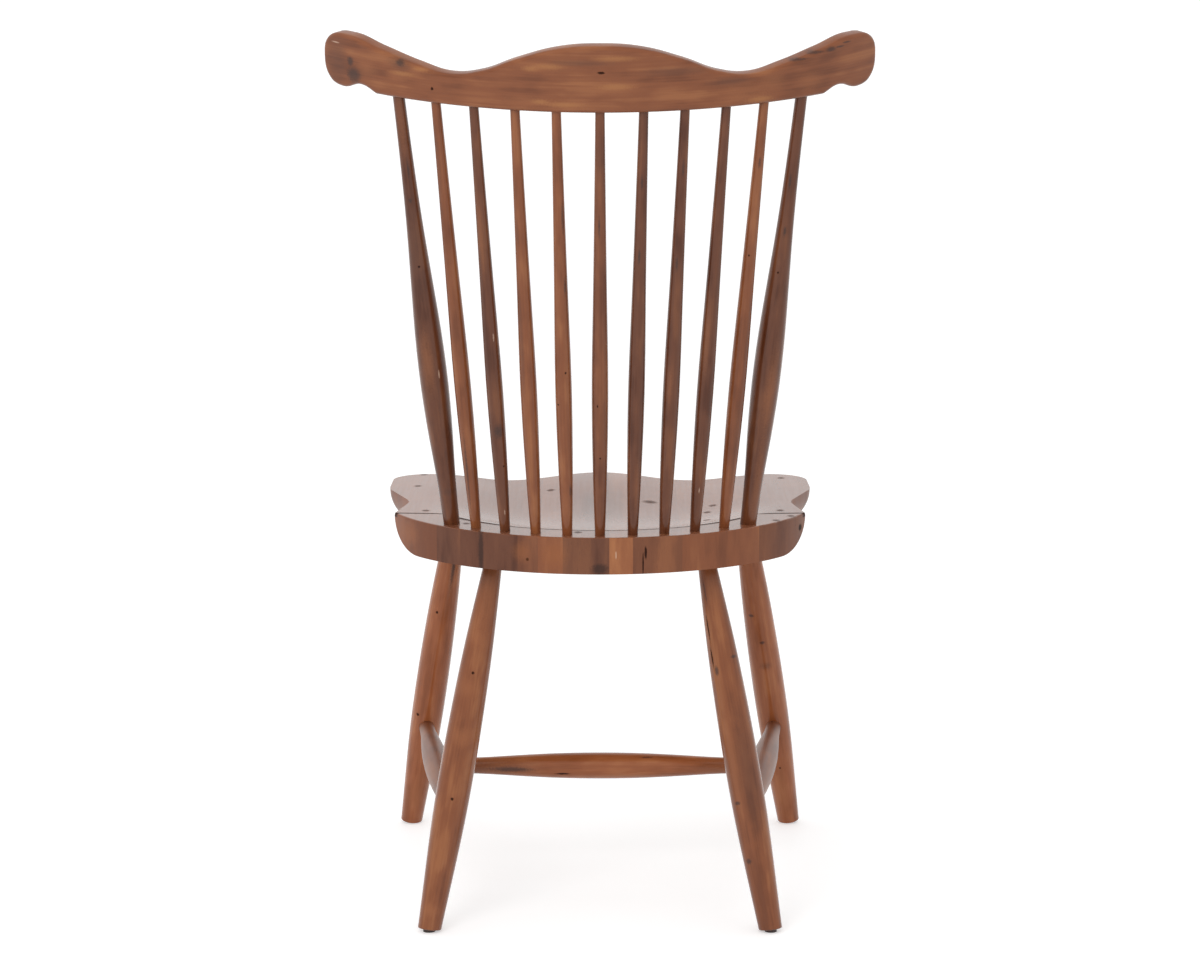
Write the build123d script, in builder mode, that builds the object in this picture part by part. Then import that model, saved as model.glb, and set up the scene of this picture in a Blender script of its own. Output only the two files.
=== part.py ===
from build123d import *
import math
import os

# Fan-back wooden dining chair, in millimetres.
# It faces -Y, its left side is +X, the floor is Z = 0 and the origin lies under the middle of its box.

# Seat: plan sizes are measured forward from the middle of the rear rim
RIM_Y = 191.7
SEAT_HEIGHT = 457.0
SEAT_THICKNESS = 42.0
REAR_RADIUS = 256.0
DECK_CORNER_ANGLE = 69.4
WAIST = (225.0, 244.0)
WAIST_RADIUS = 55.0
SHOULDER = (255.0, 332.0)
SHOULDER_RADIUS = 90.0
FRONT_CORNER = (253.0, 440.0)
FRONT_CORNER_RADIUS = 44.0
POMMEL_REACH = 453.0
POMMEL_HALF_WIDTH = 95.0
UNDER_ROUND = 40.0
RIM_ROUND = 2.0

# Gutter that parts the spindle deck from the hollowed seat
GUTTER_RADIUS = 204.0
GUTTER_ANGLE = 62.0
GUTTER_TOOL_RADIUS = 4.0
GUTTER_DEPTH = 3.5
GUTTER_BEND = 14.0

# Hollow of the seat: distance from the rim, half width, depth at centre, in the valleys and at the edge
SADDLE = (
    (44.0, 80.0, 1.2, 1.2, 1.0),
    (110.0, 150.0, 7.0, 7.5, 1.0),
    (190.0, 212.0, 10.0, 12.5, 1.0),
    (290.0, 218.0, 7.0, 12.0, 0.6),
    (380.0, 212.0, 2.2, 9.5, 0.4),
    (470.0, 205.0, 0.4, 7.0, 0.3),
)
VALLEY_SHARE = 0.56

# Joints of the glued-up seat, from the left side to the right
STAVE_JOINTS = (187.0, 159.0, 132.0, 93.0, 70.0, 42.0, -10.5, -37.0, -93.0, -182.0)

# Fan of the back: angles of the posts and spindles on the seat and on the crest rail
DECK_RADIUS = 237.0
DECK_ANGLES = (0.0, 8.95, 17.85, 27.0, 36.6, 45.8)
CREST_ANGLES = (0.0, 6.15, 12.05, 18.1, 23.9, 29.95)
BACK_LEAN = 13.0

# Crest rail: a board bent to an arc, drawn unrolled from its middle and its lower edge
CREST_BOTTOM = 941.0
CREST_RADIUS = 440.0
CREST_THICKNESS = 20.0
CREST_WAVE = (
    (0, 74.0), (45, 69.7), (90, 56.2), (130, 40.3),
    (165, 34.8), (205, 40.6), (250, 50.2), (294, 59.8),
)
CREST_EAR = ((294, 59.8), (319.5, 54.0), (326.4, 32.0), (318.4, 7.4), (301, 0.4))
CREST_NOTCH = ((301, 0.4), (274, 7.0), (254, 0.0))
CREST_NOTCH_END = (-1.0, -0.45)

# Turnings: share of the length from the lower end, and diameter there
SPINDLE = ((0.0, 11.7), (0.16, 16.4), (0.34, 18.7), (0.56, 15.9), (0.8, 12.7), (1.0, 10.5))
POST = (
    (0.0, 18.6), (0.14, 23.6), (0.25, 29.4), (0.375, 31.7),
    (0.53, 27.0), (0.69, 19.3), (0.85, 14.9), (1.0, 13.1),
)
LEG = (
    (0.0, 27.2), (0.13, 32.4), (0.29, 38.0), (0.45, 39.5),
    (0.62, 37.4), (0.78, 32.6), (0.89, 27.2), (1.0, 21.0),
)
STRETCHER = (
    (0.0, 18.6), (0.07, 19.4), (0.2, 24.2), (0.35, 29.7), (0.5, 31.4),
    (0.65, 29.7), (0.8, 24.2), (0.93, 19.4), (1.0, 18.6),
)
TURNING_ARCS = 6

# Legs: sideways place and distance from the rear rim, on the floor and at the underside of the seat
REAR_FOOT = (195.4, 0.0)
REAR_ENTRY = (122.0, 90.0)
FRONT_FOOT = (240.2, 490.0)
FRONT_ENTRY = (176.0, 392.0)
STRETCHER_HEIGHT = 134.0

# Joints: tenon lengths, the straight neck outside each one, and the glue gap around it
LEG_TENON = 24.0
DECK_TENON = 22.0
CREST_TENON = 20.0
NECK = 4.0
LEG_CHEEK = 19.0
STRETCHER_CHEEK = 16.0
GLUE_GAP = 0.12

# Feet: the sole is sawn a little nearer to level than square to the leg, and its arris is rounded
FOOT_STRAIGHT = 4.0
FOOT_ROUND = 1.5
SOLE_LEVELLING = 0.35

# Glides nailed under the feet
GLIDE_RADIUS = 7.0
GLIDE_HEIGHT = 2.7
NAIL_RADIUS = 1.3
NAIL_LENGTH = 16.0
NAIL_HEAD_RADIUS = 2.5
NAIL_HEAD_HEIGHT = 0.8
NAIL_HEAD_START = 0.9

SEAT_UNDERSIDE = SEAT_HEIGHT - SEAT_THICKNESS
SIDES = (("left", 1.0), ("right", -1.0))
FROM_BASE = (Align.CENTER, Align.CENTER, Align.MIN)
os.makedirs("parts", exist_ok=True)


def place(across, forward, height):
    """A point from its sideways place, its distance in front of the rear rim and its height."""
    return Vector(across, RIM_Y - forward, height)


def plan(across, forward):
    """The same point in a plan sketch."""
    return (across, RIM_Y - forward)


def on_rear_arc(radius, angle):
    """Sideways place and distance from the rim of a point on an arc about the rear rim's centre."""
    turn = math.radians(angle)
    return (radius * math.sin(turn), REAR_RADIUS - radius * math.cos(turn))


def keep(part, label):
    """Name a finished piece and write it out."""
    part.label = label
    export_step(part, f"parts/{label}.step")


def bore(mouth, direction, radius, depth):
    """Cut a round, flat-bottomed hole from its mouth along a direction."""
    lead = 3 * NECK
    start = mouth - direction.normalized() * lead
    with Locations(Plane(origin=start, z_dir=direction)):
        Cylinder(radius, depth + lead, align=FROM_BASE, mode=Mode.SUBTRACT)


def sawn(outline, distance):
    """Unrolled crest points laid on a flat sheet at a distance from the bend's axis."""
    return [(distance * math.tan(along / CREST_RADIUS), height) for along, height in outline]


def turning(low, high, profile, low_straight, high_straight, low_tenon, high_tenon):
    """Turn a piece about the line from low to high.

    The profile fills the length between the two straight ends. Each tenon reaches past its end point.
    """
    along = (high - low).normalized()
    across = along.cross(Vector(0, 0, 1)).normalized()
    length = (high - low).length
    turned = length - low_straight - high_straight
    curve = [(diameter / 2, low_straight + share * turned) for share, diameter in profile]
    bottom = -low_tenon
    top = length + high_tenon
    with BuildSketch(Plane(origin=low, x_dir=across, z_dir=across.cross(along))) as half:
        with BuildLine():
            guide = Spline(*curve, mode=Mode.PRIVATE)
            for arc in range(TURNING_ARCS):
                start, middle, end = [(arc + half_step / 2) / TURNING_ARCS for half_step in range(3)]
                ThreePointArc(guide @ start, guide @ middle, guide @ end)
            Polyline(curve[-1], (curve[-1][0], top), (0, top), (0, bottom), (curve[0][0], bottom), curve[0])
        make_face()
    revolve(half.sketch, axis=Axis(low, along))


# Lines that the turnings follow
deck_points = {}
crest_points = {}
crest_back = Vector(0, math.sin(math.radians(BACK_LEAN)), math.cos(math.radians(BACK_LEAN)))
crest_run = (CREST_BOTTOM - SEAT_HEIGHT) * math.tan(math.radians(BACK_LEAN))
crest_forward = Vector(0, -crest_back.Z, crest_back.Y)
crest_middle = place(0, on_rear_arc(DECK_RADIUS, 0)[1] - crest_run, CREST_BOTTOM)
crest_plane = Plane(origin=crest_middle + crest_forward * CREST_RADIUS, x_dir=(1, 0, 0), z_dir=crest_back)
for step, (deck_angle, crest_angle) in enumerate(zip(DECK_ANGLES, CREST_ANGLES)):
    for side in (1, -1):
        across, forward = on_rear_arc(DECK_RADIUS, deck_angle)
        turn = math.radians(crest_angle)
        on_arc = Vector(side * CREST_RADIUS * math.sin(turn), CREST_RADIUS * math.cos(turn), 0)
        deck_points[side * step] = place(side * across, forward, SEAT_HEIGHT)
        crest_points[side * step] = crest_plane.from_local_coords(on_arc)
POST_STEP = len(DECK_ANGLES) - 1

legs = {}
for side_name, side in SIDES:
    legs["rear_" + side_name] = (place(side * REAR_FOOT[0], REAR_FOOT[1], 0),
                                 place(side * REAR_ENTRY[0], REAR_ENTRY[1], SEAT_UNDERSIDE))
    legs["front_" + side_name] = (place(side * FRONT_FOOT[0], FRONT_FOOT[1], 0),
                                  place(side * FRONT_ENTRY[0], FRONT_ENTRY[1], SEAT_UNDERSIDE))
leg_crossings = {}
soles = {}
for leg_name, (foot, entry) in legs.items():
    leg_crossings[leg_name] = foot + (entry - foot) * (STRETCHER_HEIGHT / SEAT_UNDERSIDE)
    along = (entry - foot).normalized()
    square_up = along * (1 - SOLE_LEVELLING) + Vector(0, 0, SOLE_LEVELLING)
    soles[leg_name] = Plane(origin=foot + along * GLIDE_HEIGHT, z_dir=square_up)
side_middles = {}
for side_name, side in SIDES:
    rear_end, front_end = leg_crossings["rear_" + side_name], leg_crossings["front_" + side_name]
    side_middles[side_name] = (rear_end + front_end) / 2

# Hollow cut from the seat top in front of the gutter
deck_corner = on_rear_arc(REAR_RADIUS, DECK_CORNER_ANGLE)
gutter_end = on_rear_arc(GUTTER_RADIUS, GUTTER_ANGLE)
gutter_middle = on_rear_arc(GUTTER_RADIUS, 0)
clear = SEAT_THICKNESS
far_side = 2 * REAR_RADIUS
with BuildPart() as hollow:
    for forward, half_width, centre, valley, edge in SADDLE:
        section = Plane(origin=place(0, forward, SEAT_HEIGHT), x_dir=(1, 0, 0), z_dir=(0, -1, 0))
        valley_x = VALLEY_SHARE * half_width
        with BuildSketch(section):
            with BuildLine():
                Spline((-half_width, -edge), (-valley_x, -valley), (0, -centre), (valley_x, -valley),
                       (half_width, -edge), tangents=((1, 0), (1, 0)))
                Polyline((half_width, -edge), (far_side, -edge), (far_side, clear), (-far_side, clear),
                         (-far_side, -edge), (-half_width, -edge))
            make_face()
    loft()
    with BuildSketch(Plane.XY.offset(SEAT_UNDERSIDE)):
        with BuildLine():
            ThreePointArc(plan(-gutter_end[0], gutter_end[1]), plan(*gutter_middle), plan(*gutter_end))
            Polyline(plan(*gutter_end), plan(*deck_corner), plan(far_side, deck_corner[1]),
                     plan(far_side, far_side), plan(-far_side, far_side), plan(-far_side, deck_corner[1]),
                     plan(-deck_corner[0], deck_corner[1]), plan(-gutter_end[0], gutter_end[1]))
        make_face()
    extrude(amount=2 * SEAT_THICKNESS, mode=Mode.INTERSECT)

# Seat, carved as one and then parted into its glued staves
with BuildPart() as seat:
    with BuildSketch(Plane.XY.offset(SEAT_UNDERSIDE)):
        with BuildLine():
            rim_middle = on_rear_arc(REAR_RADIUS, DECK_CORNER_ANGLE / 2)
            ThreePointArc(plan(0, 0), plan(*rim_middle), plan(*deck_corner))
            front_start = (POMMEL_HALF_WIDTH, FRONT_CORNER[1])
            side_points = (deck_corner, WAIST, SHOULDER, FRONT_CORNER, front_start)
            FilletPolyline(*[plan(*point) for point in side_points],
                           radius=(WAIST_RADIUS, SHOULDER_RADIUS, FRONT_CORNER_RADIUS))
            Spline(plan(*front_start), plan(0, POMMEL_REACH), tangents=((-1, 0), (-1, 0)))
            mirror(about=Plane.YZ)
        make_face()
    extrude(amount=SEAT_THICKNESS)
    under_edges = seat.edges().group_by(Axis.Z)[0]
    front_edges = under_edges.filter_by_position(Axis.Y, RIM_Y - POMMEL_REACH, RIM_Y - deck_corner[1])
    fillet(front_edges, UNDER_ROUND)
    rim_edges = seat.edges().group_by(Axis.Z)[-1].sort_by(Axis.Y)
    fillet(rim_edges[-1:], RIM_ROUND)
    add(hollow.part, mode=Mode.SUBTRACT)
    gutter_height = SEAT_HEIGHT - GUTTER_DEPTH + GUTTER_TOOL_RADIUS
    with BuildLine(Plane.XY.offset(gutter_height)) as gutter:
        wing_end = (far_side / 2, deck_corner[1])
        Line(plan(-wing_end[0], wing_end[1]), plan(-gutter_end[0], gutter_end[1]))
        ThreePointArc(plan(-gutter_end[0], gutter_end[1]), plan(*gutter_middle), plan(*gutter_end))
        Line(plan(*gutter_end), plan(*wing_end))
        fillet(gutter.vertices().sort_by(Axis.X)[1:3], GUTTER_BEND)
    with BuildSketch(Plane(origin=gutter.line @ 0, z_dir=gutter.line % 0)):
        Circle(GUTTER_TOOL_RADIUS)
    sweep(path=gutter.line, mode=Mode.SUBTRACT)
    for step, deck_point in deck_points.items():
        profile = POST if abs(step) == POST_STEP else SPINDLE
        bore(deck_point, deck_point - crest_points[step], profile[0][1] / 2 + GLUE_GAP, DECK_TENON)
    for foot, entry in legs.values():
        bore(entry, entry - foot, LEG[-1][1] / 2 + GLUE_GAP, LEG_TENON)

stave_bounds = (far_side,) + STAVE_JOINTS + (-far_side,)
for number, (left_face, right_face) in enumerate(zip(stave_bounds, stave_bounds[1:]), start=1):
    with BuildPart() as stave:
        add(seat.part)
        split(bisect_by=Plane(origin=(left_face, 0, 0), z_dir=(-1, 0, 0)), keep=Keep.TOP)
        split(bisect_by=Plane(origin=(right_face, 0, 0), z_dir=(1, 0, 0)), keep=Keep.TOP)
    keep(stave.part, f"seat_stave_{number}")

# Crest rail
crest_front = CREST_RADIUS - CREST_THICKNESS / 2
crest_rear = CREST_RADIUS + CREST_THICKNESS / 2
crest_reach = math.degrees(CREST_EAR[2][0] / CREST_RADIUS) + 3
crest_top = CREST_WAVE[0][1]
saw_near = crest_front * math.cos(math.radians(crest_reach)) - CREST_THICKNESS
saw_far = crest_rear + CREST_THICKNESS
with BuildPart() as crest:
    with BuildSketch(crest_plane.offset(-CREST_THICKNESS)):
        with BuildLine():
            CenterArc((0, 0), crest_rear, 90 - crest_reach, 2 * crest_reach)
            CenterArc((0, 0), crest_front, 90 - crest_reach, 2 * crest_reach)
            for end_angle in (90 - crest_reach, 90 + crest_reach):
                PolarLine((crest_front * math.cos(math.radians(end_angle)),
                           crest_front * math.sin(math.radians(end_angle))), CREST_THICKNESS, end_angle)
        make_face()
    extrude(amount=crest_top + 2 * CREST_THICKNESS)
    saw_cuts = []
    for distance in (saw_near, saw_far):
        cut_origin = crest_plane.from_local_coords(Vector(0, distance, 0))
        with BuildSketch(Plane(origin=cut_origin, x_dir=(1, 0, 0), z_dir=crest_forward)) as saw_cut:
            with BuildLine():
                Spline(*sawn(CREST_WAVE, distance), tangents=((1, 0), (1, 0)))
                Spline(*sawn(CREST_EAR, distance), tangents=((1, 0), (-1, 0)))
                Spline(*sawn(CREST_NOTCH, distance), tangents=((-1, 0), CREST_NOTCH_END))
                Line(sawn(CREST_NOTCH, distance)[-1], (0, 0))
                mirror(about=Plane.YZ)
            make_face()
        saw_cuts.append(saw_cut.sketch)
    loft(saw_cuts, ruled=True, mode=Mode.INTERSECT)
    for step, crest_point in crest_points.items():
        profile = POST if abs(step) == POST_STEP else SPINDLE
        bore(crest_point, crest_point - deck_points[step], profile[-1][1] / 2 + GLUE_GAP, CREST_TENON)
keep(crest.part, "crest_rail")

# Posts and spindles, the spindles numbered from the left side
for step, deck_point in deck_points.items():
    is_post = abs(step) == POST_STEP
    with BuildPart() as stick:
        profile = POST if is_post else SPINDLE
        turning(deck_point, crest_points[step], profile, NECK, NECK, DECK_TENON, CREST_TENON)
    if is_post:
        label = "post_left" if step > 0 else "post_right"
    else:
        label = f"spindle_{POST_STEP - step}"
    keep(stick.part, label)

# Legs, with mortises for the side stretchers and a nail hole under each foot
for leg_name, sole in soles.items():
    entry = legs[leg_name][1]
    end, side_name = leg_name.split("_")
    other = ("front_" if end == "rear" else "rear_") + side_name
    toward_leg = leg_crossings[leg_name] - leg_crossings[other]
    with BuildPart() as leg:
        turning(sole.origin, entry, LEG, FOOT_STRAIGHT, NECK, FOOT_STRAIGHT, LEG_TENON)
        split(bisect_by=sole, keep=Keep.TOP)
        fillet(leg.faces().sort_by(Axis(sole.origin, sole.z_dir))[0].edges(), FOOT_ROUND)
        mouth = leg_crossings[leg_name] - toward_leg.normalized() * LEG_CHEEK
        bore(mouth, toward_leg, STRETCHER[0][1] / 2 + GLUE_GAP, LEG_CHEEK)
        bore(sole.origin, sole.z_dir, NAIL_RADIUS + GLUE_GAP, NAIL_LENGTH)
    keep(leg.part, f"leg_{leg_name}")

# Stretchers: one on each side between its legs, and one across between the two
end_straight = LEG_CHEEK + NECK
for side_name, side in SIDES:
    rear_end = leg_crossings["rear_" + side_name]
    front_end = leg_crossings["front_" + side_name]
    outward = Vector(side, 0, 0)
    with BuildPart() as side_stretcher:
        turning(rear_end, front_end, STRETCHER, end_straight, end_straight, 0, 0)
        mouth = side_middles[side_name] - outward * STRETCHER_CHEEK
        bore(mouth, outward, STRETCHER[0][1] / 2 + GLUE_GAP, STRETCHER_CHEEK)
    keep(side_stretcher.part, f"side_stretcher_{side_name}")
middle_straight = STRETCHER_CHEEK + NECK
with BuildPart() as medial_stretcher:
    turning(side_middles["right"], side_middles["left"], STRETCHER, middle_straight, middle_straight, 0, 0)
keep(medial_stretcher.part, "medial_stretcher")

# Glides: round pads that follow the sole on top and the floor below, moulded around the nail head
nail_head_depth = GLIDE_HEIGHT - NAIL_HEAD_START
for leg_name, sole in soles.items():
    with BuildPart() as glide:
        with BuildSketch(sole):
            Circle(GLIDE_RADIUS)
        extrude(amount=-2 * GLIDE_HEIGHT)
        split(bisect_by=Plane.XY, keep=Keep.TOP)
        with Locations(sole.offset(-nail_head_depth - GLUE_GAP)):
            Cylinder(NAIL_HEAD_RADIUS + GLUE_GAP, NAIL_HEAD_HEIGHT + 2 * GLUE_GAP,
                     align=FROM_BASE, mode=Mode.SUBTRACT)
            Cylinder(NAIL_RADIUS + GLUE_GAP, 2 * GLIDE_HEIGHT, align=FROM_BASE, mode=Mode.SUBTRACT)
    keep(glide.part, f"glide_{leg_name}")

# The four glide nails, one group
with BuildPart() as glide_nails:
    for sole in soles.values():
        with BuildSketch(sole.offset(-nail_head_depth)):
            Circle(NAIL_HEAD_RADIUS)
        extrude(amount=NAIL_HEAD_HEIGHT)
        with BuildSketch(sole.offset(-nail_head_depth)):
            Circle(NAIL_RADIUS)
        extrude(amount=nail_head_depth + NAIL_LENGTH - GLUE_GAP)
keep(glide_nails.part, "glide_nails")
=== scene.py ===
import math

import bmesh
import bpy
import numpy as np
from mathutils import Matrix, Vector


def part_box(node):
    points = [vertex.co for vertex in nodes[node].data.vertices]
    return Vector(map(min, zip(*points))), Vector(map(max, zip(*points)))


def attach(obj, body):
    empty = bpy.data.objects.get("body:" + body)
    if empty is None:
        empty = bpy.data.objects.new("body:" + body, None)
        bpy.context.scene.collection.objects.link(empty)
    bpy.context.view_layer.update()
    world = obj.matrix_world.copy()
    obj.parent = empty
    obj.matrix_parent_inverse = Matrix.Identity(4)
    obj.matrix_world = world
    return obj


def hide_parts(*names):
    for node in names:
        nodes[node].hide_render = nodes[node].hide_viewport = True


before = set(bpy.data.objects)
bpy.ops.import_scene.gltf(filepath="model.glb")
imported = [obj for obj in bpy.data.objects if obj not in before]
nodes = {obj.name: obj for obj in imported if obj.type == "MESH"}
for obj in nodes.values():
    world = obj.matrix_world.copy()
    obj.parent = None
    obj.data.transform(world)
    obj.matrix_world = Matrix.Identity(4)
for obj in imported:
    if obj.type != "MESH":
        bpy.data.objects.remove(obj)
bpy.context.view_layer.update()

# Camera, as the chair was photographed from behind
IMAGE_WIDTH = 1200
FOCAL_PIXELS = 3700
SENSOR_WIDTH = 36.0
CAMERA_BEHIND_SEAT = 4.086
CAMERA_HEIGHT = 1.2095
CAMERA_TILT = math.radians(9.6)

# Light and floor
FLOOR_RADIUS = 40.0
FLOOR_SIDES = 96
FLOOR_DROP = 0.0003
FLOOR_COLOUR = (0.75, 0.75, 0.75, 1.0)
FLOOR_ROUGHNESS = 0.6
FLOOR_SPECULAR = 0.2
FLOOR_WHITENING = 0.46
ROOM_LIGHT = 0.80
KEY_PLACE = (1.6, 3.6, 3.0)
KEY_SIZE = 2.4
KEY_POWER = 55.0
KEY_TARGET = (0.0, 0.1, 0.6)

# Crest board: its outline unrolled, as distance from the middle and height above the lower edge
CREST_WAVE = (
    (0.045, 0.0703), (0.090, 0.0569), (0.130, 0.0408), (0.165, 0.0350),
    (0.205, 0.0419), (0.250, 0.0522), (0.294, 0.0604),
)
CREST_EAR = ((0.3203, 0.0540), (0.3274, 0.0320), (0.3192, 0.0074), (0.3010, 0.0004), (0.2740, 0.0070))
CREST_MIDDLE_HEIGHT = 0.074
CREST_NOTCH_END = 0.254
CREST_BOTTOM = 0.941
CREST_RADIUS = 0.440
CREST_THICKNESS = 0.020
CREST_EASE = 0.0045
CREST_EASE_STEPS = 3
CREST_CURVE_STEPS = 20
CREST_STRIP = 0.006
CREST_WELD = 1e-6
CREST_CUT_SLACK = 1e-7
CREST_SHARP_ANGLE = math.radians(50.0)
BACK_LEAN = math.radians(13.0)

# Gutter across the seat, about the centre of the seat's rear arc
SEAT_ARC_RADIUS = 0.256
GUTTER_RADIUS = 0.204
GUTTER_ANGLE = math.radians(62.0)
GUTTER_WING = (0.256, 0.0901)
GUTTER_HALF_WIDTH = 0.0041

# Dirt and painted shade in the gutter: it darkens the lip behind, ends sharply in front, and reaches down
# from the seat's top
GUTTER_DARK_BEHIND = 0.0065
GUTTER_FRONT = 1.05
GUTTER_REACH = 0.0048
GUTTER_DIRT_AND_SHADE_STRENGTH = 0.84

# Wood tones as they show on screen, from 0 to 255: darkest, usual and lightest
TONES = {
    "plum": ((92, 62, 52), (111, 75, 61), (128, 86, 66)),
    "brown": ((108, 71, 57), (126, 83, 64), (144, 95, 70)),
    "russet": ((121, 78, 60), (139, 89, 66), (158, 105, 75)),
    "amber": ((134, 86, 63), (153, 99, 71), (172, 116, 81)),
    "copper": ((142, 88, 63), (161, 101, 72), (178, 117, 83)),
}
LIGHT_LEVEL = 0.95
GLOSS_SHARE = 0.030
SEAT_GLOSS_SHARE = 0.012
DARKEST = 0.004

# Lacquer over the stain
COAT_ROUGHNESS = 0.20
WORN_COAT_ROUGHNESS = 0.45
COAT_IOR = 1.38
UNDER_COAT_SPECULAR = 0.05
SEAT_EDGE_COAT = 0.35
CREST_TOP_COAT = 0.60

# The seat's top has faded to nearly one tone
FADED = (140, 93, 72)
FADING = 0.6

# Upward share of a face's normal from which it counts as a top, partly and fully
LEVEL_RANGE = (0.45, 0.90)

# Grain layers: name, squeeze along the grain, scale, detail, and the noise at which they begin and end
GRAIN_LAYERS = (
    ("Streak", 0.05, 95.0, 2.0, 0.30, 0.70),
    ("Line", 0.025, 420.0, 2.0, 0.30, 0.70),
    ("Figure", 0.35, 48.0, 2.5, 0.32, 0.68),
    ("Pore", 0.03, 1700.0, 1.0, 0.60, 0.72),
)

# Share of each layer in the tone, and where along it the stain goes from dark to mid and from mid to light
TONE_SHARES = {"Streak": 0.36, "Line": 0.16, "Figure": 0.48}
DARK_TO_MID = (0.10, 0.52)
MID_TO_LIGHT = (0.48, 0.92)
PORE_DARKNESS = 0.25

# Roughness of the wood under its lacquer, and what the fine lines add to it
WOOD_ROUGHNESS = 0.45
LINE_ROUGHNESS = 0.10

# Relief of the wood: shares of the fine lines and of the whole grain, then its strength and depth
LINE_RELIEF = 0.5
GRAIN_RELIEF = 0.12
WOOD_RELIEF = (0.5, 0.0006)

# Seat grain: squeeze across and up, which makes it broad on the top and upright on the edge
STAVE_SQUEEZE_ACROSS = 0.5
STAVE_SQUEEZE_UP = 0.08

# Seeds that give each piece its own grain
CREST_SEED = 3.7
STAVE_SEED_STEP = 1.3
FIRST_STICK_SEED = 20.0
STICK_SEED_STEP = 2.1
GLIDE_SEED = 0.5
NAIL_SEED = 0.2

# Marks of wear and stains, and some painted shade and highlight: colour, strength, softness of the edge and
# depth
MARKS = {
    "hole": ((0.020, 0.007, 0.005, 1), 0.92, 0.35, 1.0),
    "dent": ((0.050, 0.022, 0.016, 1), 0.70, 0.45, 0.8),
    "smudge": ((0.034, 0.018, 0.015, 1), 0.72, 0.50, 0.0),
    # shade: a soft darker zone; on the posts' inner sides and along the crest's ear edge it is painted shade
    "shade": ((0.055, 0.026, 0.020, 1), 0.36, 0.80, 0.0),
    "patch": ((0.360, 0.128, 0.047, 1), 0.40, 0.80, 0.0),
    "bloom": ((0.440, 0.185, 0.060, 1), 0.50, 0.75, 0.0),
    # fleck: a pale scratch; one on the crest's ear is a painted highlight
    "fleck": ((0.640, 0.430, 0.310, 1), 0.65, 0.40, 0.0),
}
MARK_RAGGEDNESS = 0.8
MARK_RAGGED_SCALE = 500.0
HOLE_COLOUR = MARKS["hole"][0]
FLECK_COLOUR = MARKS["fleck"][0]

# How far behind a piece's middle its marks are centred, which is also half their depth
STICK_MARK_DEPTH = 0.022
BOARD_MARK_DEPTH = 0.014

# Scattered wear: name, scale, squeeze along the grain, size, and the share of places without it
SPECK_KINDS = (
    ("Hole", 24.0, 0.7, 0.045, 0.90),
    ("Scratch", 20.0, 0.22, 0.028, 0.85),
)
SPECK_OUTER = 1.3
SPECK_INNER = 0.6
SCRATCH_STRENGTH = 0.4
HOLE_STRENGTH = 0.9

# Glides: plain and dusty colour and roughness, scale and range of the dust, strength and depth of its relief
GLIDE_PLAIN = (0.030, 0.015, 0.011, 1)
GLIDE_DUSTY = (0.070, 0.045, 0.036, 1)
GLIDE_ROUGHNESS = (0.45, 0.7)
DUST_SCALE = 300.0
DUST_RANGE = (0.45, 0.7)
DUST_RELIEF = (0.3, 0.0002)

# Nails: dark and bright colour and roughness, then the drawn lines' scale, squeeze, and strength and depth
NAIL_DARK = (0.30, 0.30, 0.31, 1)
NAIL_BRIGHT = (0.48, 0.48, 0.49, 1)
NAIL_ROUGHNESS = (0.3, 0.5)
NAIL_SCALE = 2500.0
NAIL_SQUEEZE = 0.1
NAIL_RELIEF = (0.2, 0.0001)

# Axis of a turned piece: a level one points toward +X, and one this far along Y runs fore and aft
LEVEL_PULL = 0.01
FORE_AND_AFT = 0.8


def put(tree, kind, inputs=None, **settings):
    """Add a node, set its properties, and link or fill its inputs."""
    node = tree.nodes.new(kind)
    for name, value in settings.items():
        setattr(node, name, value)
    for key, value in (inputs or {}).items():
        if isinstance(value, bpy.types.NodeSocket):
            tree.links.new(value, node.inputs[key])
        else:
            node.inputs[key].default_value = value
    return node


def calc(tree, operation, first, second=0.0):
    """A sum or other plain calculation on two values."""
    return put(tree, "ShaderNodeMath", {0: first, 1: second}, operation=operation).outputs[0]


def weigh(tree, *shares):
    """The sum of values, each times its weight."""
    total = 0.0
    for value, weight in shares:
        total = calc(tree, "ADD", calc(tree, "MULTIPLY", value, weight), total)
    return total


def between(tree, value, low, high):
    """How far a value lies from low to high, as 0 to 1 with soft ends."""
    node = put(tree, "ShaderNodeMapRange", {"Value": value, "From Min": low, "From Max": high},
               interpolation_type="SMOOTHSTEP")
    return node.outputs["Result"]


def span(tree, share, low, high):
    """A value from low to high, by a share from 0 to 1."""
    return put(tree, "ShaderNodeMapRange", {"Value": share, "To Min": low, "To Max": high}).outputs["Result"]


def vector(tree, operation, first, second):
    """A calculation on two vectors."""
    return put(tree, "ShaderNodeVectorMath", {0: first, 1: second}, operation=operation).outputs["Vector"]


def length(tree, first):
    """The length of a vector."""
    return put(tree, "ShaderNodeVectorMath", {0: first}, operation="LENGTH").outputs["Value"]


def split(tree, first):
    """The X, Y and Z of a vector."""
    return put(tree, "ShaderNodeSeparateXYZ", {0: first}).outputs


def own_place(tree):
    """Coordinates in a piece's own frame."""
    return put(tree, "ShaderNodeTexCoord").outputs["Object"]


def cloud(tree, place, seed, scale, detail=3.0, roughness=0.55):
    """Smooth noise with its own seed."""
    node = put(tree, "ShaderNodeTexNoise",
               {"Vector": place, "W": seed, "Scale": scale, "Detail": detail, "Roughness": roughness},
               noise_dimensions="4D")
    return node.outputs["Fac"]


def blend(tree, share, first, second):
    """A colour between two, by a share from 0 to 1."""
    node = put(tree, "ShaderNodeMix", {0: share, 6: first, 7: second}, data_type="RGBA")
    return node.outputs[2]


def tint(tree, colour, over, mask, strength):
    """A colour with another one laid over it where a mask shows."""
    return blend(tree, calc(tree, "MULTIPLY", mask, strength), colour, over)


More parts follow.
